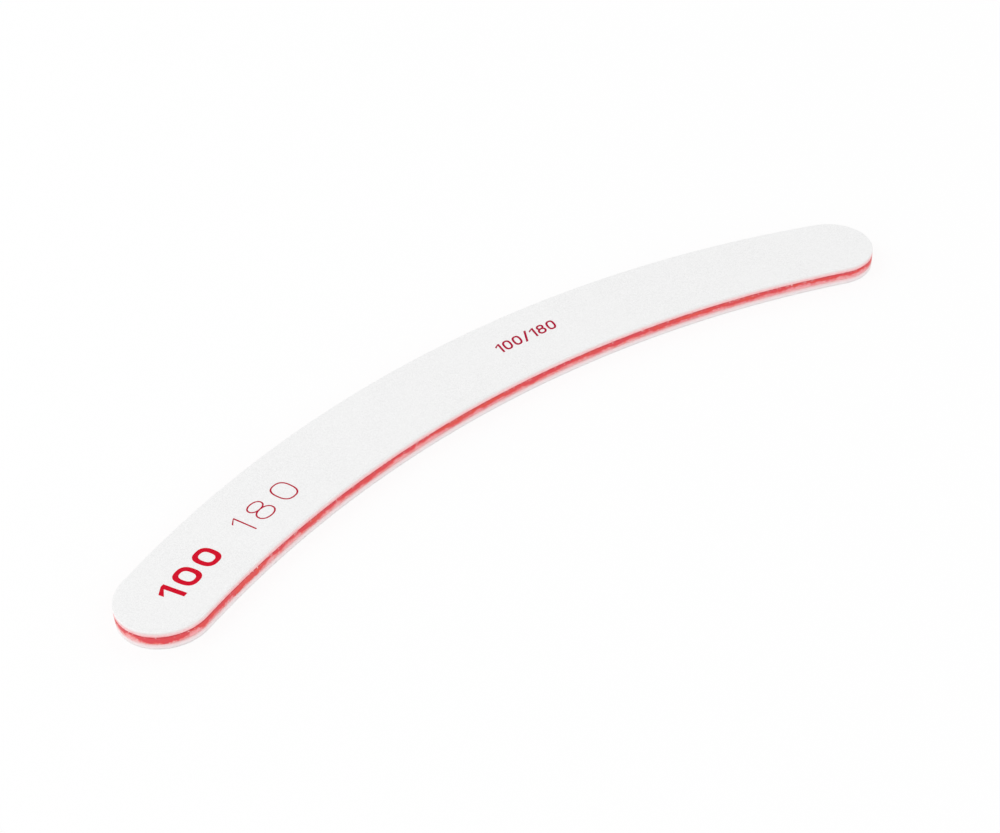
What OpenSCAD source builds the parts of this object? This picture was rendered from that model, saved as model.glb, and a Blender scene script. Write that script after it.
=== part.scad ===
// Curved emery board for nails: a springy core between two foam cushions, each faced with abrasive paper.
// It lies flat, coarse side up, with its hollow long edge towards -Y and its length along X.
// The origin is at the middle of the box around it, on the surface that it lies on. Lengths are millimetres.

/* [Outline] */
// Length from tip to tip
board_l = 178; // [150:1:200]
// Width from one long edge to the other, measured across the middle
board_w = 19; // [15:0.5:24]
// Radius of both long edges, which are the same arc so that neighbours nest in the sheet they are cut from
edge_r = 200; // [160:5:400]

/* [Core] */
// Thickness of the core
core_t = 1.6; // [1.2:0.1:2.4]
// Height of the smooth band that the knife shears at the top of the core's edge
core_land_h = 1; // [0.3:0.1:1]
// How far the broken part of the core's edge draws in below that band
core_draw = 0.1; // [0:0.02:0.2]

/* [Cushions] */
// Thickness of the foam above the core
upper_cushion_t = 0.7; // [0.4:0.1:2]
// Thickness of the foam below the core
lower_cushion_t = 0.8; // [0.4:0.1:2]
// Depth of the hollow round each cushion's edge, left when the foam springs back from the knife
cushion_waist = 0.1; // [0:0.02:0.3]

/* [Abrasive papers] */
// Thickness of each backing paper
paper_t = 0.22; // [0.1:0.02:0.4]
// Thickness of the coarse coat on the upper face
upper_coat_t = 0.2; // [0.1:0.02:0.4]
// Thickness of the fine coat on the lower face
lower_coat_t = 0.1; // [0.06:0.02:0.3]
// How far the upper rim rolls in where the knife goes through first
upper_rim_roll = 0.16; // [0:0.02:0.5]
// How far the lower rim rolls in where the knife comes out
lower_rim_roll = 0.12; // [0:0.02:0.3]

/* [Adhesives] */
// Thickness of the film between the core and each cushion
core_adhesive_t = 0.04; // [0.02:0.01:0.1]
// Thickness of the film between each cushion and its paper
paper_adhesive_t = 0.04; // [0.02:0.01:0.1]
// How far the films stay back from the cut edge
adhesive_setback = 0.05; // [0:0.01:0.2]

/* [Hidden] */

$fn = 360;
// Number of steps in a curved edge
edge_steps = 4;
// How far a cutting shape runs past what it cuts
past = 1;
// How wide the band is in which a disc's rim is shaped
rim_band = 4;
// How far the cuts at the tips reach, which is past all of both discs
reach = 2 * edge_r;

// Radius of the round tips, which touch both long edges smoothly: the positive root of
// tip_a * r^2 - board_l * r + tip_c = 0
tip_a = 4 * pow(edge_r / board_w, 2);
tip_c = pow(board_l / 2, 2) + pow(board_w / 2, 2) - pow(edge_r, 2);
tip_r = (board_l / 2 + sqrt(pow(board_l / 2, 2) - tip_a * tip_c)) / tip_a;
// Centre of the right tip, measured from the centre of the outer long edge
tip_x = board_l / 2 - tip_r;
tip_rise = 2 * edge_r * tip_r / board_w - board_w / 2;
// Centres of the long edges and of the tips, with the whole outline centred on Y
outer_y = -(edge_r + tip_rise - tip_r) / 2;
inner_y = outer_y - board_w;
tip_y = outer_y + tip_rise;
// Directions, seen from the right tip's centre, in which it meets the outer and the inner long edge
meet_outer = atan2(tip_rise, tip_x);
meet_inner = atan2(-tip_rise - board_w, -tip_x);

// Heights of the faces where one layer meets the next, from the bottom up
lower_paper_z = lower_coat_t;
lower_film_z = lower_paper_z + paper_t;
lower_cushion_z = lower_film_z + paper_adhesive_t;
lower_core_film_z = lower_cushion_z + lower_cushion_t;
core_z = lower_core_film_z + core_adhesive_t;
upper_core_film_z = core_z + core_t;
upper_cushion_z = upper_core_film_z + core_adhesive_t;
upper_film_z = upper_cushion_z + upper_cushion_t;
upper_paper_z = upper_film_z + paper_adhesive_t;
upper_coat_z = upper_paper_z + paper_t;
board_t = upper_coat_z + upper_coat_t;

core_red = [0.82, 0.26, 0.27];
foam_white = [0.96, 0.95, 0.94];
paper_white = [0.93, 0.93, 0.92];
film_clear = [0.90, 0.88, 0.80];
coat_white = [0.95, 0.95, 0.95];

// An edge is a list of [inset, height] points, from a layer's lower face to its upper face.
function straight_edge(low, high, inset) = [[inset, low], [inset, high]];

// The foam's edge: flush at both faces and drawn in between them
function waisted_edge(low, high, depth) = [
  for (i = [0 : 2 * edge_steps])
    let (f = i / (2 * edge_steps))
    [depth * 4 * f * (1 - f), low + f * (high - low)]
];

// Quarter ellipse of a rolled rim: how far it is in, for a share of the way up to the face
function rolled(share) = 1 - sqrt(max(0, 1 - share * share));

// The edge of a layer in the upper rim, between two heights
function upper_rim(low, high) = [
  for (i = [0 : edge_steps])
    let (z = low + i / edge_steps * (high - low))
    [upper_rim_roll * rolled((z - upper_paper_z) / (board_t - upper_paper_z)), z]
];

// The edge of a layer in the lower rim, between two heights
function lower_rim(low, high) = [
  for (i = [0 : edge_steps])
    let (z = low + i / edge_steps * (high - low))
    [lower_rim_roll * rolled((lower_film_z - z) / lower_film_z), z]
];

// The core's edge: sheared straight at the top, broken and drawn in below
function sheared_edge() = [
  [core_draw, core_z],
  [core_draw, core_z + (core_t - core_land_h) / 2],
  [0, upper_core_film_z - core_land_h],
  [0, upper_core_film_z],
];

// A direction in plan, at an angle in degrees
function towards(angle) = [cos(angle), sin(angle)];

// A move made in whole millimetres, then in thousandths and then by the rest, so that it keeps all its digits
module move(v) {
  whole = [for (c = v) floor(c)];
  fine = [for (c = v - whole) floor(1000 * c) / 1000];
  translate(whole) translate(fine) translate(v - whole - fine) children();
}

// A round disc whose rim follows the edge at radius r: a plain middle, and a band that carries the rim.
// side is 1 where the rim draws in towards the centre, and -1 where it draws out.
// past_faces is how far the disc goes straight on beyond its two faces.
module disc(edge, r, side, past_faces = 0) {
  low = edge[0] - [0, past_faces];
  high = edge[len(edge) - 1] + [0, past_faces];
  rim = past_faces == 0 ? edge : concat([low], edge, [high]);
  rotate_extrude() {
    translate([0, low[1]]) square([floor(r) - rim_band + past, high[1] - low[1]]);
    move([r, 0, 0])
      polygon(concat(
        [[-rim_band, low[1]]],
        [for (p = rim) [-side * p[0], p[1]]],
        [[-rim_band, high[1]]]
      ));
  }
}

// All of the plan beyond the two lines on which the right tip begins, past both faces of a layer
module beyond_tip_lines(edge) {
  low = edge[0][1] - past;
  high = edge[len(edge) - 1][1] + past;
  move([tip_x, tip_y, low])
    linear_extrude(high - low)
      polygon([
        [0, 0],
        reach * towards(meet_inner),
        reach * [2, -1],
        reach * [2, 1],
        reach * towards(meet_outer),
      ]);
}

// The strip between the long edges, cut off on the lines where the tips begin
module strip(edge) {
  difference() {
    move([0, outer_y, 0]) disc(edge, edge_r, 1);
    move([0, inner_y, 0]) disc(edge, edge_r, -1, past);
    beyond_tip_lines(edge);
    mirror([1, 0, 0]) beyond_tip_lines(edge);
  }
}

// The round tip at the right
module tip(edge) {
  intersection() {
    move([tip_x, tip_y, 0]) disc(edge, tip_r, 1);
    beyond_tip_lines(edge);
  }
}

// One layer as the knife leaves it: the strip and one tip first, then the other tip
module die_cut(edge) {
  union() {
    strip(edge);
    tip(edge);
  }
  mirror([1, 0, 0]) tip(edge);
}

module lower_abrasive_coat() {
  color(coat_white) die_cut(lower_rim(0, lower_paper_z));
}

module lower_backing_paper() {
  color(paper_white) die_cut(lower_rim(lower_paper_z, lower_film_z));
}

module lower_paper_adhesive() {
  color(film_clear) die_cut(straight_edge(lower_film_z, lower_cushion_z, adhesive_setback));
}

module lower_cushion() {
  color(foam_white) die_cut(waisted_edge(lower_cushion_z, lower_core_film_z, cushion_waist));
}

module lower_core_adhesive() {
  color(film_clear) die_cut(straight_edge(lower_core_film_z, core_z, adhesive_setback));
}

module core_board() {
  color(core_red) die_cut(sheared_edge());
}

module upper_core_adhesive() {
  color(film_clear) die_cut(straight_edge(upper_core_film_z, upper_cushion_z, adhesive_setback));
}

module upper_cushion() {
  color(foam_white) die_cut(waisted_edge(upper_cushion_z, upper_film_z, cushion_waist));
}

module upper_paper_adhesive() {
  color(film_clear) die_cut(straight_edge(upper_film_z, upper_paper_z, adhesive_setback));
}

module upper_backing_paper() {
  color(paper_white) die_cut(upper_rim(upper_paper_z, upper_coat_z));
}

module upper_abrasive_coat() {
  color(coat_white) die_cut(upper_rim(upper_coat_z, board_t));
}

lower_abrasive_coat();
lower_backing_paper();
lower_paper_adhesive();
lower_cushion();
lower_core_adhesive();
core_board();
upper_core_adhesive();
upper_cushion();
upper_paper_adhesive();
upper_backing_paper();
upper_abrasive_coat();
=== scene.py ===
# Curved emery board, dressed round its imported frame. Metres, coarse side up, hollow edge towards -Y.
import math

import bpy
import numpy as np
from mathutils import Matrix, Vector, noise
from mathutils.bvhtree import BVHTree
from mathutils.geometry import delaunay_2d_cdt


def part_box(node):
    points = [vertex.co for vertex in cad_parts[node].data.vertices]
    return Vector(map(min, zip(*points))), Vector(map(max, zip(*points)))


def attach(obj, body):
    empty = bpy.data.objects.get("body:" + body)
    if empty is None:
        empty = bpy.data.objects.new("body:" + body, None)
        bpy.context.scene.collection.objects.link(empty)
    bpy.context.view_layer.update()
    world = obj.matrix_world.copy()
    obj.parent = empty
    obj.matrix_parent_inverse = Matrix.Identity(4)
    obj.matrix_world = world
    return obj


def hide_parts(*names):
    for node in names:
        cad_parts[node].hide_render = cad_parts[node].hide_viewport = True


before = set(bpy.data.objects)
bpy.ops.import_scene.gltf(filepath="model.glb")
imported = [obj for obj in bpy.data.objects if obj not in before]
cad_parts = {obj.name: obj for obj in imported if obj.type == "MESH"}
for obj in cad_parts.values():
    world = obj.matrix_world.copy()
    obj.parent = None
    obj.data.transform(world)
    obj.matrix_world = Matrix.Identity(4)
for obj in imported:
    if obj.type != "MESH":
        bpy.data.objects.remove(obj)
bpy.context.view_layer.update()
mm = 0.001
print("frame loaded:", len(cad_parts), "sheets")

# The outline that the knife cuts, the same for every sheet
board = {
    "length": 178 * mm,
    "width": 19 * mm,
    "edgeRadius": 200 * mm,  # of both long edges
}


def tipOf(shape):
    # the round tip that touches both long edges, and where the circles are centred
    half, width, radius = shape["length"] / 2, shape["width"], shape["edgeRadius"]
    k = 4 * (radius / width) ** 2
    c = half ** 2 + width ** 2 / 4 - radius ** 2
    tipRadius = (half + math.sqrt(half ** 2 - k * c)) / k
    rise = 2 * radius * tipRadius / width - width / 2  # from the outer edge's centre up to the tip's
    outerY = -(radius + rise - tipRadius) / 2
    tipX = half - tipRadius
    return {
        "radius": tipRadius,
        "x": tipX,
        "y": outerY + rise,
        "outerY": outerY,
        "innerY": outerY - width,
        "meetOuter": math.atan2(rise, tipX),
        "meetInner": math.atan2(-rise - width, -tipX),
    }


tip = tipOf(board)
midY = (tip["outerY"] + tip["innerY"]) / 2  # centre of the arc down the middle of the board


def arcSamples(centre, radius, side, first, last, count):
    # one row per sample: centre, direction, radius, and which way an inset goes
    angles = np.linspace(first, last, count + 1)
    rows = np.empty((count + 1, 6))
    rows[:, 0:2] = centre
    rows[:, 2] = np.cos(angles)
    rows[:, 3] = np.sin(angles)
    rows[:, 4] = radius
    rows[:, 5] = side
    return rows


def halfOutline(outer, step):
    # from the left end to the right end, along the outer or the inner long edge
    nose = (tip["meetOuter"] + tip["meetInner"]) / 2
    meet = tip["meetOuter"] if outer else tip["meetInner"]
    edgeCentre = (0, tip["outerY"] if outer else tip["innerY"])
    side = 1 if outer else -1
    edgeAngle = tip["meetOuter"] if outer else tip["meetInner"] + math.pi
    inTip = round(tip["radius"] * (tip["meetOuter"] - nose) / step)
    inEdge = round(board["edgeRadius"] * (math.pi - 2 * tip["meetOuter"]) / step)
    left = arcSamples((-tip["x"], tip["y"]), tip["radius"], 1, math.pi - nose, math.pi - meet, inTip)
    edge = arcSamples(edgeCentre, board["edgeRadius"], side, math.pi - edgeAngle, edgeAngle, inEdge)
    right = arcSamples((tip["x"], tip["y"]), tip["radius"], 1, meet, nose, inTip)
    return np.vstack((left, edge[1:], right[1:]))


def wholeOutline(step):
    # clockwise seen from above; also how many samples each half has
    outer, inner = halfOutline(True, step), halfOutline(False, step)
    return np.vstack((outer, inner[-2:0:-1])), len(outer)


def pointsAt(samples, inset, z):
    # the outline drawn in by inset, at height z
    reach = samples[:, 4] - samples[:, 5] * inset
    plan = samples[:, 0:2] + samples[:, 2:4] * reach[:, None]
    return np.column_stack((plan, np.broadcast_to(z, len(samples))))


def inwards(samples):
    # the direction into the board, as a flat vector for each sample
    return np.column_stack((-samples[:, 2:4] * samples[:, 5:6], np.zeros(len(samples))))


def noiseAt(points, size, shift=0.0):
    # smooth noise from about -1 to 1, with features of that size
    return np.array([noise.noise(p) for p in (points / size + shift).tolist()])


def cellsAt(points, size):
    # distance to the nearest cell's centre, in cells
    return np.array([noise.voronoi(p)[0][0] for p in (points / size).tolist()])


def smooth(share):
    # eases from 0 to 1
    share = np.clip(share, 0, 1)
    return share * share * (3 - 2 * share)


def wallFaces(rows, around, flip=False):
    # quads between rings that lie one above the other
    faces = []
    for row in range(rows - 1):
        for i in range(around):
            j = (i + 1) % around
            low, high = row * around, (row + 1) * around
            quad = (low + i, high + i, high + j, low + j)
            faces.append(quad[::-1] if flip else quad)
    return faces


def pairIndex(i, half):
    # where the ring passes the point across the board from sample i
    return i if i in (0, half - 1) else 2 * half - 2 - i


def flatFace(start, around, up):
    # one flat face that fills a ring
    face = tuple(range(start, start + around))
    return [face[::-1] if up else face]


def sleeveFaces(rows, around):
    # a wall with a flat cap at its foot and at its top
    top = (rows - 1) * around
    return wallFaces(rows, around) + flatFace(0, around, False) + flatFace(top, around, True)


sharpAngle = math.radians(40)  # edges that turn by more stay hard


def shadeMesh(mesh):
    mesh.polygons.foreach_set("use_smooth", [True] * len(mesh.polygons))
    mesh.set_sharp_from_angle(angle=sharpAngle)


def makePiece(name, vertices, faces, node):
    mesh = bpy.data.meshes.new(name)
    mesh.from_pydata(np.asarray(vertices).tolist(), [], faces)
    shadeMesh(mesh)
    mesh.update()
    piece = bpy.data.objects.new(name, mesh)
    bpy.context.scene.collection.objects.link(piece)
    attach(piece, "root")
    if node:
        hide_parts(node)
    print(name, "made:", len(faces), "faces")
    return piece


def heightsOf(node):
    low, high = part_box(node)
    return low.z, high.z


boardTop = heightsOf("upper_abrasive_coat")[1]
rimTop = heightsOf("upper_backing_paper")[0]  # where the upper rim starts to roll in
rimBottom = heightsOf("lower_backing_paper")[1]
rolledRim = {"upper": 0.16 * mm, "lower": 0.12 * mm}  # how far each rim rolls in at its face


def rollInset(z, upper):
    # quarter ellipse from the paper's inner face to the board's face
    share = (z - rimTop) / (boardTop - rimTop) if upper else (rimBottom - z) / rimBottom
    roll = rolledRim["upper" if upper else "lower"]
    return roll * (1 - math.sqrt(max(0, 1 - share * share)))


# Coats of grains in resin
coarseCoat = {
    "step": 0.21 * mm,  # along the edges
    "across": 84,  # cells across the width
    "rimRows": 5,
    "rimInset": 0.02 * mm,  # how far the rim stays back from the cut
    "ragged": 0.02 * mm,  # how far it strays from that
    "calmFrom": 0.6 * mm,  # its straying starts this far from the very ends
    "calmOver": 2.4 * mm,  # and grows over this length
    "grain": 0.26 * mm,
    "relief": 0.028 * mm,
    "waves": 0.006 * mm,
    "scatter": 0.05 * mm,  # how far points on the face stray at most
    "room": 0.3,  # the same, as a share of the way to the next point
    "seed": 100,
}
fineCoat = {
    **coarseCoat,
    "step": 0.23 * mm,
    "across": 76,
    "rimRows": 4,
    "grain": 0.24 * mm,
    "relief": 0.012 * mm,
    "waves": 0.004 * mm,
    "seed": 180,
}


def grainDepth(points, look):
    # how far the surface lies below the tips of its highest grains
    lift = 0.5 + 0.55 * noiseAt(points, look["grain"]) + 0.4 * noiseAt(points, look["grain"] * 0.6, 4.7)
    swell = 0.5 - 0.5 * noiseAt(points, 2.5 * mm, 1.9)
    return look["relief"] * (1 - np.clip(lift, 0, 1)) + look["waves"] * swell


def coatRim(ring, half, look, face, back, upper):
    # the rows of the cut edge, from the coat's back to its face
    down = 1 if upper else -1
    # the rows across crowd together at the very ends, where nothing may stray out of line
    fromEnd = np.abs((np.arange(len(ring)) + half / 2) % half - half / 2) * look["step"]
    calm = smooth((fromEnd - look["calmFrom"]) / look["calmOver"])
    rows = []
    for share in np.linspace(0, 1, look["rimRows"]):
        z = back + share * (face - back)
        row = pointsAt(ring, rollInset(z, upper), z)
        ragged = noiseAt(row, 0.3 * mm, 7.3) * 0.5 + noiseAt(row, 0.9 * mm, 2.1) * 0.5
        row += inwards(ring) * (look["rimInset"] + look["ragged"] * ragged * calm)[:, None]
        row[:, 2] -= down * share * grainDepth(row, look)
        rows.append(row)
    return rows


def coatField(rim, pair, look, face, upper):
    # the points inside the face, row by row across the board
    half, across = len(pair), look["across"]
    near, far = rim[:half], rim[pair]
    share = (np.arange(1, across) / across)[None, :, None]
    flat = near[1:-1][:, None, :] * (1 - share) + far[1:-1][:, None, :] * share
    points = flat.reshape(-1, 3)
    between = np.linalg.norm(np.diff((near + far) / 2, axis=0), axis=1)
    spacing = np.linalg.norm(near - far, axis=1)[1:-1] / across
    room = look["room"] * np.minimum(spacing, np.minimum(between[:-1], between[1:]))
    reach = np.repeat(np.minimum(room, look["scatter"]), across - 1)
    strays = np.random.default_rng(look["seed"]).uniform(-1, 1, (len(points), 2))
    points[:, 0:2] += strays * reach[:, None]
    points[:, 2] = face
    points[:, 2] -= (1 if upper else -1) * grainDepth(points, look)
    return points


def coatGrid(pair, across, rimStart, fieldStart):
    # which vertex stands where in the face, with one row for each pair of rim points
    half = len(pair)
    grid = np.empty((half, across + 1), int)
    grid[:, 0] = np.arange(half) + rimStart
    grid[:, -1] = pair + rimStart
    grid[0, :] = grid[0, 0]
    grid[-1, :] = grid[-1, 0]
    inside = np.arange((half - 2) * (across - 1))
    grid[1:-1, 1:-1] = inside.reshape(half - 2, across - 1) + fieldStart
    return grid


def gridFaces(grid, upper):
    faces = []
    for row, following in zip(grid[:-1], grid[1:]):
        for quad in np.column_stack((row[:-1], row[1:], following[1:], following[:-1])).tolist():
            corners = tuple(dict.fromkeys(quad))  # at the very ends some fall together
            if len(corners) > 2:
                faces.append(corners if upper else corners[::-1])
    return faces


def coatPiece(name, node, look, upper):
    low, high = heightsOf(node)
    face, back = (high, low) if upper else (low, high)
    ring, half = wholeOutline(look["step"])
    around = len(ring)
    pair = np.array([pairIndex(i, half) for i in range(half)])
    rows = coatRim(ring, half, look, face, back, upper)
    field = coatField(rows[-1], pair, look, face, upper)
    fieldStart = len(rows) * around
    faces = wallFaces(len(rows), around, not upper) + flatFace(0, around, not upper)
    faces += gridFaces(coatGrid(pair, look["across"], fieldStart - around, fieldStart), upper)
    return makePiece(name, np.vstack((*rows, field)), faces, node)


coarse = coatPiece("coarse_coat", "upper_abrasive_coat", coarseCoat, True)
fine = coatPiece("fine_coat", "lower_abrasive_coat", fineCoat, False)

# Backing papers, of which only the cut edge shows
paper = {
    "step": 0.16 * mm,
    "rows": 5,
    "fray": 0.012 * mm,
    "fibre": 0.25 * mm,
    "upright": 4,  # how many times finer the fray is in height than along the edge
}


def paperPiece(name, node, upper):
    low, high = heightsOf(node)
    ring = wholeOutline(paper["step"])[0]
    rows = []
    for z in np.linspace(low, high, paper["rows"]):
        row = pointsAt(ring, rollInset(z, upper), z)
        stretched = row * np.array([1, 1, paper["upright"]])
        fray = paper["fray"] * (1 + noiseAt(stretched, paper["fibre"], 3.3))
        rows.append(row + inwards(ring) * fray[:, None])
    faces = sleeveFaces(len(rows), len(ring))
    return makePiece(name, np.vstack(rows), faces, node)


upperPaper = paperPiece("upper_paper", "upper_backing_paper", True)
lowerPaper = paperPiece("lower_paper", "lower_backing_paper", False)

# Foam cushions: the knife opens the cells along their edge
foam = {
    "step": 0.11 * mm,
    "rowHeight": 0.075 * mm,
    "waist": 0.1 * mm,
    "cell": 0.26 * mm,
    "shadedPit": 0.035 * mm,  # depth of an open cell
    "skin": 0.01 * mm,  # how far the edge stays back from the cut between the cells
    "sway": 0.02 * mm,
}


def foamPiece(name, node):
    low, high = heightsOf(node)
    ring = wholeOutline(foam["step"])[0]
    count = round((high - low) / foam["rowHeight"]) + 1
    rows = []
    for z in np.linspace(low, high, count):
        share = (z - low) / (high - low)
        bulge = 4 * share * (1 - share)
        row = pointsAt(ring, foam["waist"] * bulge, z)
        pits = foam["shadedPit"] * smooth(1.25 - 1.6 * cellsAt(row, foam["cell"]))
        sway = foam["sway"] * noiseAt(row, 1.6 * mm, 5.5)
        inset = (foam["skin"] + pits + sway) * (0.25 + 0.75 * bulge)
        rows.append(row + inwards(ring) * inset[:, None])
    faces = sleeveFaces(len(rows), len(ring))
    return makePiece(name, np.vstack(rows), faces, node)


upperFoam = foamPiece("upper_foam", "upper_cushion")
lowerFoam = foamPiece("lower_foam", "lower_cushion")

# Core: sheared smooth at the top, broken ragged below
core = {
    "step": 0.11 * mm,
    "rowHeight": 0.1 * mm,
    "land": 1.0 * mm,  # height of the sheared band
    "wander": 0.5 * mm,  # how far its lower edge strays
    "leftWander": 0.8,  # share by which it strays more at the left tip
    "leftFrom": 40 * mm,  # where that starts, left of the middle
    "leftOver": 50 * mm,  # and the length over which it grows
    "ledge": 0.045 * mm,  # step in from the band to the break
    "draw": 0.05 * mm,  # how much further the break draws in below
    "flakes": 0.055 * mm,
    "drag": 0.01 * mm,  # depth of the lines that the knife leaves
    "lip": 0.03 * mm,  # the band's upper edge is dragged in a little
    "lipHeight": 0.12 * mm,
}


def bandEdge(plan, high):
    # height at which the band ends: in level stretches with steps between them, and small teeth all along
    plateaus = np.tanh(5 * noiseAt(plan, 7.5 * mm, 19.2))
    steps = np.tanh(4 * noiseAt(plan, 2.2 * mm, 46.4))
    teeth = np.abs(noiseAt(plan, 0.8 * mm, 6.1)) + 0.6 * noiseAt(plan, 0.3 * mm, 3.6)
    stray = 0.35 * plateaus + 0.35 * steps + 0.35 * teeth + 0.02
    stray *= 1 + core["leftWander"] * smooth((-plan[:, 0] - core["leftFrom"]) / core["leftOver"])
    return high - core["land"] + core["wander"] * stray


def corePiece():
    low, high = heightsOf("core_board")
    ring = wholeOutline(core["step"])[0]
    count = round((high - low) / core["rowHeight"]) + 1
    border = bandEdge(pointsAt(ring, 0, 0), high)
    nicks = 1 + 2 * smooth(3 * noiseAt(pointsAt(ring, 0, 0), 0.45 * mm, 5.2) - 0.6)
    rows, below = [], []
    for z in np.linspace(low, high, count):
        depthBelow = (border - z) / mm
        broken = smooth(depthBelow / 0.1 + 0.5)
        row = pointsAt(ring, 0, z)
        largeFlakes = 0.5 * noiseAt(row * np.array([1, 1, 1.4]), 0.42 * mm, 1.2)
        flakes = 0.5 + largeFlakes + 0.4 * noiseAt(row, 0.2 * mm, 9.4)
        lines = 0.5 + 0.5 * noiseAt(row * np.array([1, 1, 0.08]), 0.16 * mm, 2.7)
        lip = core["lip"] * smooth(1 - (high - z) / core["lipHeight"]) * nicks
        hollow = core["ledge"] + core["draw"] * smooth(depthBelow) + core["flakes"] * flakes
        inset = broken * hollow + (1 - broken) * core["drag"] * lines + lip
        rows.append(row + inwards(ring) * inset[:, None])
        below.append(depthBelow)
    faces = sleeveFaces(len(rows), len(ring))
    piece = makePiece("core", np.vstack(rows), faces, "core_board")
    layer = piece.data.attributes.new("belowBand", "FLOAT", "POINT")  # in millimetres, negative on the band
    layer.data.foreach_set("value", np.concatenate(below).astype(np.float32))
    return piece


corePart = corePiece()

# Printed grit numbers, drawn with strokes of an even width. Lengths in a figure are shares of its height.
figures = {
    "corner": 2.6,  # of a 0: 2 is an ellipse, more is squarer
    "bowlCorner": 2.15,  # of the two ovals in an 8
    "upperBowl": 0.88,  # width of an 8's upper oval, as a share of its lower
    "upperHeight": 0.455,  # of an 8's upper oval, down to the middle of the bar at the waist
    "lowerHeight": 0.545,  # of its lower oval, up to the same
    "past": 0.06,  # how far a slash runs past the figures
    "points": 64,
}
numbers = {
    "number_100": {
        "text": "100", "height": 5.0 * mm, "stroke": 0.98 * mm, "width": 0.84, "gap": 0.26,
        "start": -82.8 * mm, "baseline": -3.2 * mm, "rise": 0, "lean": 0,
    },
    "number_180": {
        "text": "180", "height": 5.3 * mm, "stroke": 0.3 * mm, "width": 0.76, "gap": 0.42,
        "start": -62.6 * mm, "baseline": -3.6 * mm, "rise": 0, "lean": 0,
    },
    "number_100_180": {
        "text": "100/180", "height": 2.92 * mm, "stroke": 0.45 * mm, "width": 0.66, "gap": 0.145,
        "start": 5.3 * mm, "baseline": -0.6 * mm, "rise": 0.026, "lean": 10,
    },
}
ink = {
    "grid": 0.13 * mm,
    "film": 0.014 * mm,  # above the grains
    "root": 0.03 * mm,  # below its own top
    "gridRow": 0.866,  # height of a row of the grid's even triangles, as a share of their width
    "clearance": 0.45,  # of the grid from the loops, as a share of the same
}


def ovalLoop(x, y, halfWidth, halfHeight, power):
    turns = np.linspace(0, 2 * math.pi, figures["points"], endpoint=False)
    c, s = np.cos(turns), np.sin(turns)
    return np.column_stack((
        x + halfWidth * np.sign(c) * np.abs(c) ** (2 / power),
        y + halfHeight * np.sign(s) * np.abs(s) ** (2 / power),
    ))


def zeroLoops(stroke, width):
    w = width / 2
    outer = ovalLoop(w, 0.5, w, 0.5, figures["corner"])
    inner = ovalLoop(w, 0.5, w - stroke, 0.5 - stroke, figures["corner"])
    return [outer, inner], width


def oneLoops(stroke, width):
    # a stem with a slanted flag
    stem, drop, flag = 0.3 * width + 0.3 * stroke, 0.17, 1.15 * stroke
    return [np.array([
        (stem, 0), (stem + stroke, 0), (stem + stroke, 1), (stem + 0.25 * stroke, 1),
        (0, 1 - drop), (0, 1 - drop - flag), (stem, 1 - 0.75 * flag),
    ])], stem + stroke


def outsideOval(points, x, y, halfWidth, halfHeight):
    across, along = np.abs(points[:, 0] - x) / halfWidth, np.abs(points[:, 1] - y) / halfHeight
    power, rim = figures["bowlCorner"], 1.0001  # a hair past the oval, to leave out points on it
    return points[across ** power + along ** power > rim]


def sortedFrom(points, x, y, start):
    # clockwise round a centre, starting at that direction
    angle = (start - np.arctan2(points[:, 1] - y, points[:, 0] - x)) % (2 * math.pi)
    return points[np.argsort(angle)]


def eightLoops(stroke, width):
    # two ovals that share the bar at the waist
    w, power = width / 2, figures["bowlCorner"]
    bowl = w * figures["upperBowl"]
    top, bottom = figures["upperHeight"], figures["lowerHeight"]
    upHalf, lowHalf = (top + stroke / 2) / 2, (bottom + stroke / 2) / 2
    upper = ovalLoop(w, 1 - upHalf, bowl, upHalf, power)
    lower = ovalLoop(w, lowHalf, w, lowHalf, power)
    lowerPart = outsideOval(lower, w, 1 - upHalf, bowl, upHalf)
    upperPart = outsideOval(upper, w, lowHalf, w, lowHalf)
    outline = np.vstack((
        sortedFrom(lowerPart, w, lowHalf, math.pi / 2),
        sortedFrom(upperPart, w, 1 - upHalf, -math.pi / 2),
    ))
    upHole = ovalLoop(w, 1 - upHalf, bowl - stroke, upHalf - stroke, power)
    lowHole = ovalLoop(w, lowHalf, w - stroke, lowHalf - stroke, power)
    return [outline, upHole, lowHole], width


def slashLoops(stroke, width):
    lean, foot = 0.36, 1.1 * stroke
    low, high = -figures["past"], 1 + figures["past"]
    return [np.array([(0, low), (foot, low), (lean + foot, high), (lean, high)])], lean + foot


drawFigure = {"0": zeroLoops, "1": oneLoops, "8": eightLoops, "/": slashLoops}


def refined(loop, step):
    # the same loop with no edge longer than step
    points = []
    for a, b in zip(loop, np.roll(loop, -1, axis=0)):
        count = max(1, math.ceil(np.linalg.norm(b - a) / step))
        points += [a + (b - a) * i / count for i in range(count)]
    return np.array(points)


def isInside(points, loops):
    # inside an odd number of the loops
    inside = np.zeros(len(points), bool)
    for loop in loops:
        for (ax, ay), (bx, by) in zip(loop, np.roll(loop, -1, axis=0)):
            if ay == by:
                continue
            crosses = (ay > points[:, 1]) != (by > points[:, 1])
            inside ^= crosses & (points[:, 0] < (bx - ax) * (points[:, 1] - ay) / (by - ay) + ax)
    return inside


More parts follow.
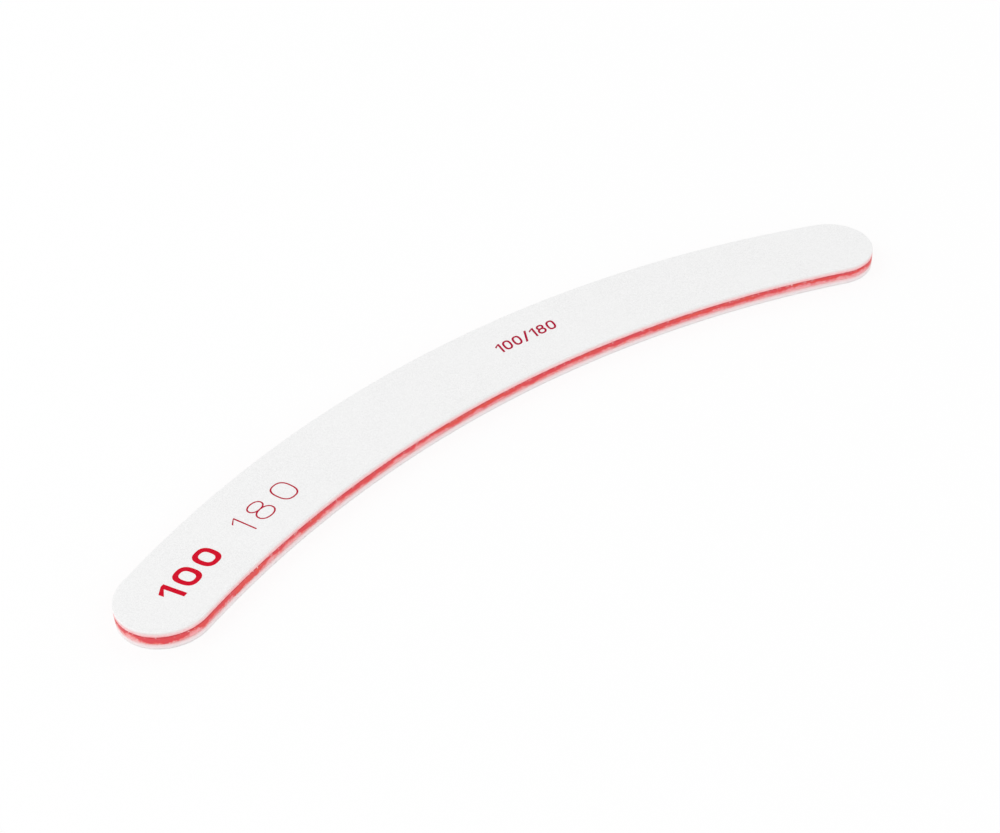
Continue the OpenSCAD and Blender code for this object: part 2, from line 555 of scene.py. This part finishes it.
def figureSheet(loops):
    # points and triangles that fill the loops
    loops = [refined(loop, ink["grid"]) for loop in loops]
    rim = np.vstack(loops)
    low, high = rim.min(0), rim.max(0)
    xs = np.arange(low[0], high[0], ink["grid"])
    ys = np.arange(low[1], high[1], ink["grid"] * ink["gridRow"])
    gridX, gridY = np.meshgrid(xs, ys)
    gridX[1::2] += ink["grid"] / 2
    field = np.column_stack((gridX.ravel(), gridY.ravel()))
    field = field[isInside(field, loops)]
    if len(field):
        gaps = np.sqrt(((field[:, None, :] - rim[None, :, :]) ** 2).sum(2)).min(1)
        field = field[gaps > ink["grid"] * ink["clearance"]]
    edges, start = [], 0
    for loop in loops:
        edges += [(start + i, start + (i + 1) % len(loop)) for i in range(len(loop))]
        start += len(loop)
    seeds = [Vector(p / mm) for p in np.vstack((rim, field))]
    filled = delaunay_2d_cdt(seeds, edges, [], 0, 1e-6)
    points, triangles = np.array([tuple(p) for p in filled[0]]) * mm, filled[2]
    middles = np.array([points[list(t)].mean(0) for t in triangles])
    kept = [t for t, inside in zip(triangles, isInside(middles, loops)) if inside]
    return points, kept


def onBoard(points):
    # along the middle arc and out from it, to the frame's X and Y
    angle = points[:, 0] / board["edgeRadius"]
    reach = board["edgeRadius"] + points[:, 1]
    return np.column_stack((reach * np.sin(angle), midY + reach * np.cos(angle)))


coatTree = BVHTree.FromPolygons(
    [v.co for v in coarse.data.vertices], [tuple(p.vertices) for p in coarse.data.polygons])


def coatHeight(x, y):
    # straight down onto the grains
    hit = coatTree.ray_cast(Vector((x, y, boardTop + mm)), Vector((0, 0, -1)))[0]
    return hit.z


def removeLoose(piece):
    # points that no face uses
    used = set()
    for polygon in piece.data.polygons:
        used.update(polygon.vertices)
    if len(used) < len(piece.data.vertices):
        keep = sorted(used)
        place = {old: new for new, old in enumerate(keep)}
        points = [piece.data.vertices[i].co[:] for i in keep]
        faces = [tuple(place[i] for i in p.vertices) for p in piece.data.polygons]
        piece.data.clear_geometry()
        piece.data.from_pydata(points, [], faces)
        shadeMesh(piece.data)


def slabFaces(plan, triangles, first):
    # the top, the underside and the walls of a thin sheet whose top starts at vertex first
    under = first + len(plan)
    faces, used = [], {}
    for a, b, c in triangles:
        ax, ay = plan[a]
        turn = (plan[b][0] - ax) * (plan[c][1] - ay) - (plan[b][1] - ay) * (plan[c][0] - ax)
        if turn < 0:
            b, c = c, b
        faces.append((first + a, first + b, first + c))
        faces.append((under + a, under + c, under + b))
        for edge in ((a, b), (b, c), (c, a)):
            used[edge] = True
    for a, b in used:
        if (b, a) not in used:  # a border edge gets a side wall
            faces.append((first + b, first + a, under + a, under + b))
    return faces


def numberPiece(name, look):
    vertices, faces = [], []
    cursor = look["start"]
    slant = np.array([[1, look["rise"]], [math.tan(math.radians(look["lean"])), 1]])
    for letter in look["text"]:
        loops, width = drawFigure[letter](look["stroke"] / look["height"], look["width"])
        foot = (cursor, look["baseline"] + look["rise"] * (cursor - look["start"]))
        points, triangles = figureSheet([loop @ slant * look["height"] + foot for loop in loops])
        plan = onBoard(points)
        top = np.array([coatHeight(x, y) + ink["film"] for x, y in plan])
        top = np.minimum(top, boardTop)
        faces += slabFaces(plan, triangles, len(vertices))
        vertices += np.column_stack((plan, top)).tolist()
        vertices += np.column_stack((plan, top - ink["root"])).tolist()
        cursor += (width + look["gap"]) * look["height"]
    piece = makePiece(name, vertices, faces, None)
    removeLoose(piece)
    return piece


printed = [numberPiece(name, look) for name, look in numbers.items()]
print("numbers printed")


# Finishes. Textures are measured in the frame's own metres, so every grain has a real size.
def lightOf(level):
    # the share of light that a screen gives at a level from 0 to 255
    share = level / 255
    return share / 12.92 if level <= 10 else ((share + 0.055) / 1.055) ** 2.4


def screen(red, green, blue):
    # a colour as it is read off a screen
    return (lightOf(red), lightOf(green), lightOf(blue), 1)


def startMaterial(name, **sockets):
    material = bpy.data.materials.new(name)
    material.use_nodes = True
    tree = material.node_tree
    shader = tree.nodes["Principled BSDF"]
    for socket, value in sockets.items():
        shader.inputs[socket.replace("_", " ")].default_value = value
    place = tree.nodes.new("ShaderNodeTexCoord").outputs["Object"]
    return material, tree, shader, place


def addNode(tree, kind, sockets, **options):
    made = tree.nodes.new(kind)
    for option, value in options.items():
        setattr(made, option, value)
    for socket, value in sockets.items():
        if isinstance(value, bpy.types.NodeSocket):
            tree.links.new(value, made.inputs[socket])
        else:
            made.inputs[socket].default_value = value
    return made


def addNoise(tree, place, size, detail=2, rough=0.5):
    # size is that of one feature, in metres
    sockets = {"Vector": place, "Scale": 1 / size, "Detail": detail, "Roughness": rough}
    return addNode(tree, "ShaderNodeTexNoise", sockets).outputs["Fac"]


def addCells(tree, place, size):
    # distance from the middle of each cell, and a shade of its own for each
    made = addNode(tree, "ShaderNodeTexVoronoi", {"Vector": place, "Scale": 1 / size})
    return made.outputs["Distance"], made.outputs["Color"]


def addRange(tree, value, low, high, newLow, newHigh):
    sockets = {"Value": value, "From Min": low, "From Max": high, "To Min": newLow, "To Max": newHigh}
    return addNode(tree, "ShaderNodeMapRange", sockets, interpolation_type="SMOOTHSTEP").outputs["Result"]


def addMath(tree, operation, first, second):
    made = addNode(tree, "ShaderNodeMath", {0: first, 1: second}, operation=operation, use_clamp=True)
    return made.outputs[0]


def addMix(tree, factor, first, second):
    made = tree.nodes.new("ShaderNodeMix")
    made.data_type = "RGBA"
    for socket, value in ((0, factor), (6, first), (7, second)):
        if isinstance(value, bpy.types.NodeSocket):
            tree.links.new(value, made.inputs[socket])
        else:
            made.inputs[socket].default_value = value
    return made.outputs[2]


def addStretch(tree, place, x, y, z):
    # features come out finer along an axis with a larger number
    return addNode(tree, "ShaderNodeMapping", {"Vector": place, "Scale": (x, y, z)}).outputs["Vector"]


def addBump(tree, shader, height, depth, strength=1.0):
    bump = addNode(tree, "ShaderNodeBump", {"Height": height, "Distance": depth, "Strength": strength})
    tree.links.new(bump.outputs["Normal"], shader.inputs["Normal"])


def grainHeight(tree, place, size):
    # rounded grains, some higher than others, with a fine fuzz of resin
    distance, shade = addCells(tree, place, size)
    fuzz = addNoise(tree, place, size * 0.4, 2, 0.6)
    domes = addRange(tree, distance, 0.05, 0.75, 1, 0)
    grains = addMath(tree, "MULTIPLY", domes, addRange(tree, shade, 0, 1, 0.45, 0.8))
    return addMath(tree, "ADD", grains, addMath(tree, "MULTIPLY", fuzz, 0.2)), distance, shade


def grainFinish(name, look):
    material, tree, shader, place = startMaterial(name, Specular_IOR_Level=0.35)
    height, distance, shade = grainHeight(tree, place, look["grain"])
    clouds = addNoise(tree, place, look["clouds"], 3, 0.5)
    tone = addMix(tree, addRange(tree, shade, 0.2, 0.8, 0, 1), look["dark"], look["light"])
    # painted shade: the hollows between the grains are coloured darker, where shade falls
    tone = addMix(tree, addRange(tree, distance, 0.4, 0.8, 0, 0.8), tone, look["shadedPit"])
    tone = addMix(tree, addRange(tree, clouds, 0.35, 0.65, 0, 0.3), tone, look["cloud"])
    tree.links.new(tone, shader.inputs["Base Color"])
    tree.links.new(addRange(tree, distance, 0.1, 0.7, 0.5, 0.85), shader.inputs["Roughness"])
    addBump(tree, shader, height, look["bump"])
    return material


coarseLook = {
    "grain": 0.19 * mm,
    "clouds": 9 * mm,
    "bump": 0.042 * mm,
    "dark": screen(244, 244, 244),
    "light": screen(251, 251, 251),
    # painted shade: the colour of the hollows between the grains
    "shadedPit": screen(236, 236, 236),
    "cloud": screen(247, 247, 247),
}
fineLook = {
    "grain": 0.12 * mm,
    "clouds": 9 * mm,
    "bump": 0.025 * mm,
    "dark": screen(242, 242, 242),
    "light": screen(251, 251, 251),
    # painted shade: the colour of the hollows between the grains
    "shadedPit": screen(234, 234, 234),
    "cloud": screen(246, 246, 246),
}


def wanderingHeight(tree, place):
    # height in the frame, a little unsteady, so that no colour ends on a ruled line
    height = addNode(tree, "ShaderNodeSeparateXYZ", {0: place}).outputs["Z"]
    stray = addRange(tree, addNoise(tree, place, 0.4 * mm, 3, 0.6), 0.25, 0.75, -0.07 * mm, 0.07 * mm)
    return addNode(tree, "ShaderNodeMath", {0: height, 1: stray}, operation="ADD").outputs[0]


def foamFinish(name, look):
    material, tree, shader, place = startMaterial(name, Roughness=0.9, Specular_IOR_Level=0.15)
    cells = addCells(tree, place, look["cell"])[0]
    blots = addNoise(tree, place, 0.9 * mm, 3, 0.6)
    crumbs = addNoise(tree, place, 0.16 * mm, 2, 0.6)
    height = wanderingHeight(tree, place)
    # painted shade: the middles of the open cells, where the foam is hollow, are coloured darker
    white = addMix(tree, addRange(tree, cells, 0.0, 0.5, 0, 1), look["shadedPit"], look["skin"])
    # the core's colour shines through the foam beside it, and its dust rubs off close by
    blush = addRange(tree, height, look["blushFrom"], look["core"], 0, 1)
    blush = addMath(tree, "MULTIPLY", blush, addRange(tree, blots, 0.25, 0.75, 0.6, 1))
    dust = addRange(tree, height, look["dustFrom"], look["core"], 0, 1)
    dust = addMath(tree, "MULTIPLY", dust, addRange(tree, crumbs, 0.5, 0.62, 0, 0.75))
    tinted = addMix(tree, dust, addMix(tree, blush, white, look["blush"]), look["dust"])
    tree.links.new(tinted, shader.inputs["Base Color"])
    fuzz = addNoise(tree, place, 0.07 * mm, 2, 0.6)
    openCells = addRange(tree, cells, 0.0, 0.6, 0, 0.7)
    bumps = addMath(tree, "ADD", openCells, addMath(tree, "MULTIPLY", fuzz, 0.3))
    addBump(tree, shader, bumps, look["bump"])
    return material


coreLow, coreHigh = heightsOf("core_board")
upperFoamLook = {
    "cell": 0.16 * mm,
    "bump": 0.02 * mm,
    "skin": screen(250, 242, 242),
    # painted shade: the colour inside the open cells
    "shadedPit": screen(240, 229, 229),
    "blush": screen(248, 177, 181),
    "dust": screen(224, 94, 100),
    "core": coreHigh,
    "blushFrom": coreHigh + 0.75 * mm,
    "dustFrom": coreHigh + 0.14 * mm,
}
lowerFoamLook = {
    **upperFoamLook,
    # painted shade: the lower foam's skin and cells are coloured darker than the upper foam's, for the shade
    # near the floor
    "skin": screen(246, 239, 240),
    "shadedPit": screen(236, 226, 227),
    "blush": screen(254, 206, 209),
    "dust": screen(238, 130, 136),
    "core": coreLow,
    "blushFrom": coreLow - 0.8 * mm,
    "dustFrom": coreLow - 0.2 * mm,
}


def paperFinish(name, shade, pale):
    material, tree, shader, place = startMaterial(name, Roughness=0.9, Specular_IOR_Level=0.2)
    fibres = addNoise(tree, addStretch(tree, place, 1, 1, 5), 0.35 * mm, 4, 0.65)
    tone = addMix(tree, addRange(tree, fibres, 0.3, 0.7, 0, 1), shade, pale)
    tree.links.new(tone, shader.inputs["Base Color"])
    addBump(tree, shader, fibres, 0.02 * mm)
    return material


def coreFinish(look):
    material, tree, shader, place = startMaterial("core_red", Specular_IOR_Level=0.25)
    height = wanderingHeight(tree, place)
    below = addNode(tree, "ShaderNodeAttribute", {}, attribute_name="belowBand").outputs["Fac"]
    stretches = addNoise(tree, place, look["stretches"], 2, 0.5)
    blots = addNoise(tree, place, look["blots"], 3, 0.6)
    patches = addNoise(tree, addStretch(tree, place, 1, 1, 1.6), look["patches"], 4, 0.65)
    flecks = addNoise(tree, place, look["flecks"], 2, 0.6)
    # the sheared band, with painted shade: a darker red line just under its top edge, beneath the
    # overhanging upper foam, and a few pale nicks there
    band = addMix(tree, addRange(tree, stretches, 0.4, 0.6, 0, 1), look["ember"], look["bright"])
    band = addMix(tree, addRange(tree, blots, 0.4, 0.7, 0, 0.5), band, look["cherry"])
    topShade = addRange(tree, height, coreHigh - 0.36 * mm, coreHigh - 0.12 * mm, 0, 1)
    topShade = addMath(tree, "MULTIPLY", topShade, addRange(tree, flecks, 0.25, 0.55, 0.4, 1))
    band = addMix(tree, topShade, band, look["topShade"])
    nicks = addRange(tree, height, coreHigh - 0.5 * mm, coreHigh - 0.25 * mm, 0, 1)
    nicks = addMath(tree, "MULTIPLY", nicks, addRange(tree, flecks, 0.58, 0.63, 0, 0.95))
    nicks = addMath(tree, "MULTIPLY", nicks, addRange(tree, blots, 0.47, 0.53, 0, 1))
    band = addMix(tree, nicks, band, look["fleck"])
    # the plastic goes pale where it was bent until it broke
    pinks = addMix(tree, addRange(tree, stretches, 0.42, 0.58, 0, 0.7), look["broken"], look["glow"])
    broken = addMix(tree, addRange(tree, patches, 0.4, 0.6, 0, 0.5), pinks, look["whitened"])
    broken = addMix(tree, addRange(tree, below, 0.1, 0.8, 0, 0.9), broken, look["whitened"])
    broken = addMix(tree, addRange(tree, flecks, 0.58, 0.7, 0, 0.75), broken, look["fleck"])
    broken = addMix(tree, addRange(tree, flecks, 0.4, 0.3, 0, 0.7), broken, look["bright"])
    torn = addRange(tree, below, -0.06, 0.1, 0, 1)
    tree.links.new(addMix(tree, torn, band, broken), shader.inputs["Base Color"])
    tree.links.new(addRange(tree, torn, 0, 1, 0.5, 0.85), shader.inputs["Roughness"])
    lines = addNoise(tree, addStretch(tree, place, 1, 1, 0.06), 0.12 * mm, 2, 0.5)
    crumbs = addNoise(tree, place, 0.13 * mm, 3, 0.65)
    addBump(tree, shader, addMix(tree, torn, lines, crumbs), look["bump"], 0.8)
    return material


coreLook = {
    "stretches": 9 * mm,
    "blots": 1.3 * mm,
    "patches": 1.1 * mm,
    "flecks": 0.3 * mm,
    # painted shade: the darker red just under the band's top edge, beneath the upper foam
    "topShade": screen(204, 62, 72),
    "ember": screen(233, 86, 76),
    "bright": screen(230, 76, 82),
    "cherry": screen(220, 82, 96),
    "broken": screen(236, 104, 114),
    "glow": screen(242, 114, 100),
    "whitened": screen(251, 180, 185),
    "fleck": screen(252, 216, 215),
    "bump": 0.025 * mm,
}


def filmFinish():
    material, tree, shader, place = startMaterial("adhesive_film", Roughness=0.35)
    haze = addNoise(tree, place, 0.6 * mm, 3, 0.5)
    tone = addMix(tree, addRange(tree, haze, 0.35, 0.65, 0, 1), screen(222, 212, 200), screen(236, 230, 220))
    tree.links.new(tone, shader.inputs["Base Color"])
    addBump(tree, shader, haze, 0.01 * mm)
    return material


def inkFinish(name, colour, worn):
    # the grains below show through it
    material, tree, shader, place = startMaterial(name, Specular_IOR_Level=0.06)
    height, distance, shade = grainHeight(tree, place, coarseLook["grain"])
    tone = addMix(tree, addRange(tree, distance, 0.45, 0.85, 0, 0.35), colour, worn)
    tree.links.new(tone, shader.inputs["Base Color"])
    tree.links.new(addRange(tree, shade, 0.3, 0.7, 0.6, 0.8), shader.inputs["Roughness"])
    addBump(tree, shader, height, coarseLook["bump"])
    return material


def dress(piece, material):
    piece.data.materials.clear()
    piece.data.materials.append(material)


coarseMaterial = grainFinish("coarse_grains", coarseLook)
fineMaterial = grainFinish("fine_grains", fineLook)
filmMaterial = filmFinish()
inks = {
    "number_100": inkFinish("bold_ink", screen(210, 1, 36), screen(218, 34, 62)),
    "number_180": inkFinish("thin_ink", screen(184, 2, 48), screen(196, 34, 70)),
    "number_100_180": inkFinish("small_ink", screen(176, 2, 52), screen(190, 34, 76)),
}
dress(coarse, coarseMaterial)
dress(fine, fineMaterial)
dress(upperPaper, paperFinish("upper_paper_edge", screen(243, 239, 239), screen(252, 248, 247)))
# painted shade: the lower paper is the same paper as the upper, coloured darker for the shade near the floor
dress(lowerPaper, paperFinish("lower_paper_edge", screen(233, 229, 229), screen(246, 242, 242)))
dress(upperFoam, foamFinish("upper_foam_cells", upperFoamLook))
dress(lowerFoam, foamFinish("lower_foam_cells", lowerFoamLook))
dress(corePart, coreFinish(coreLook))
for piece in printed:
    dress(piece, inks[piece.name])
for node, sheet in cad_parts.items():
    if node.endswith("_adhesive"):
        sheet.material_slots[0].material = filmMaterial
print("finishes done")

# Floor and light: a white room, brighter round its walls than overhead, with one softbox at the back left
studio = {
    "floorSize": 8.0,
    "floorTone": 0.82,
    "seenTone": 0.14,  # of the floor as the camera sees it, so that its shadows stay faint
    "seenGlow": 0.858,  # what lifts it back to white
    "horizon": 1.44,
    "zenith": 0.64,
    "softboxSize": 0.6,
    "softboxPower": 1.2,
    "softboxPlace": (-0.55, 0.35, 0.75),
}


def seenDirectly(tree):
    # 1 for rays from the camera, or that reach it through gloss or glass
    path = tree.nodes.new("ShaderNodeLightPath")
    gloss = addMath(tree, "ADD", path.outputs["Is Glossy Ray"], path.outputs["Is Transmission Ray"])
    return addMath(tree, "ADD", path.outputs["Is Camera Ray"], gloss)


def seenFromBelow(tree):
    # the floor lets views from under it through, and all their light
    side = tree.nodes.new("ShaderNodeNewGeometry").outputs["Backfacing"]
    passed = tree.nodes.new("ShaderNodeLightPath").outputs["Transparent Depth"]
    return addMath(tree, "ADD", side, passed)


def makeFloor():
    half = studio["floorSize"] / 2
    corners = [(-half, -half, 0), (half, -half, 0), (half, half, 0), (-half, half, 0)]
    mesh = bpy.data.meshes.new("floor")
    mesh.from_pydata(corners, [], [(0, 1, 2, 3)])
    floor = bpy.data.objects.new("floor", mesh)
    bpy.context.scene.collection.objects.link(floor)
    material, tree, shader = startMaterial("floor_white", Roughness=1.0, Specular_IOR_Level=0.0)[:3]
    seen = seenDirectly(tree)
    tones = [(studio[key],) * 3 + (1,) for key in ("floorTone", "seenTone")]
    tree.links.new(addMix(tree, seen, *tones), shader.inputs["Base Color"])
    shader.inputs["Emission Color"].default_value = (1, 1, 1, 1)
    tree.links.new(addMath(tree, "MULTIPLY", seen, studio["seenGlow"]), shader.inputs["Emission Strength"])
    clear = tree.nodes.new("ShaderNodeBsdfTransparent").outputs[0]
    sockets = {0: seenFromBelow(tree), 1: shader.outputs[0], 2: clear}
    surface = addNode(tree, "ShaderNodeMixShader", sockets).outputs[0]
    tree.links.new(surface, tree.nodes["Material Output"].inputs["Surface"])
    dress(floor, material)


def makeDome():
    world = bpy.data.worlds.new("white_room")
    bpy.context.scene.world = world
    world.use_nodes = True
    tree = world.node_tree
    background = tree.nodes["Background"]
    background.inputs["Color"].default_value = (1, 1, 1, 1)
    direction = tree.nodes.new("ShaderNodeTexCoord").outputs["Generated"]
    height = addNode(tree, "ShaderNodeSeparateXYZ", {0: direction}).outputs["Z"]
    steep = addMath(tree, "ABSOLUTE", height, 0)
    sockets = {"Value": steep, "To Min": studio["horizon"], "To Max": studio["zenith"]}
    light = addNode(tree, "ShaderNodeMapRange", sockets).outputs["Result"]
    sockets = {"Value": seenDirectly(tree), "To Min": light, "To Max": 1.0}
    strength = addNode(tree, "ShaderNodeMapRange", sockets).outputs["Result"]
    tree.links.new(strength, background.inputs["Strength"])


def makeSoftbox():
    lamp = bpy.data.lights.new("softbox", "AREA")
    lamp.shape = "SQUARE"
    lamp.size = studio["softboxSize"]
    lamp.energy = studio["softboxPower"]
    light = bpy.data.objects.new("softbox", lamp)
    light.location = studio["softboxPlace"]
    light.rotation_mode = "QUATERNION"
    light.rotation_quaternion = (-light.location).to_track_quat("-Z", "Y")
    bpy.context.scene.collection.objects.link(light)


makeFloor()
makeDome()
makeSoftbox()

# Camera, at the angle of the photograph
shot = {
    "azimuth": -37.055,
    "elevation": 37.367,
    "roll": -3.062,
    "distance": 362.665 * mm,
    "right": -0.842 * mm,  # how far the view's middle lies from the frame's origin
    "up": -3.543 * mm,
    "focalPixels": 1891.7,
    "imageWidth": 1000,
    "clipStart": 10 * mm,
}


def makeCamera():
    turn, lift, roll = (math.radians(shot[key]) for key in ("azimuth", "elevation", "roll"))
    back = Vector((math.sin(turn) * math.cos(lift), -math.cos(turn) * math.cos(lift), math.sin(lift)))
    level = (-back).cross(Vector((0, 0, 1))).normalized()
    upright = level.cross(-back)
    right = level * math.cos(roll) + upright * math.sin(roll)
    up = upright * math.cos(roll) - level * math.sin(roll)
    lens = bpy.data.cameras.new("camera")
    lens.lens = lens.sensor_width * shot["focalPixels"] / shot["imageWidth"]
    lens.clip_start = shot["clipStart"]
    camera = bpy.data.objects.new("camera", lens)
    camera.matrix_world = Matrix((right, up, back)).transposed().to_4x4()
    camera.location = back * shot["distance"] + right * shot["right"] + up * shot["up"]
    bpy.context.scene.collection.objects.link(camera)
    bpy.context.scene.camera = camera


makeCamera()
bpy.context.scene.view_settings.view_transform = "Standard"
print("room and camera set")
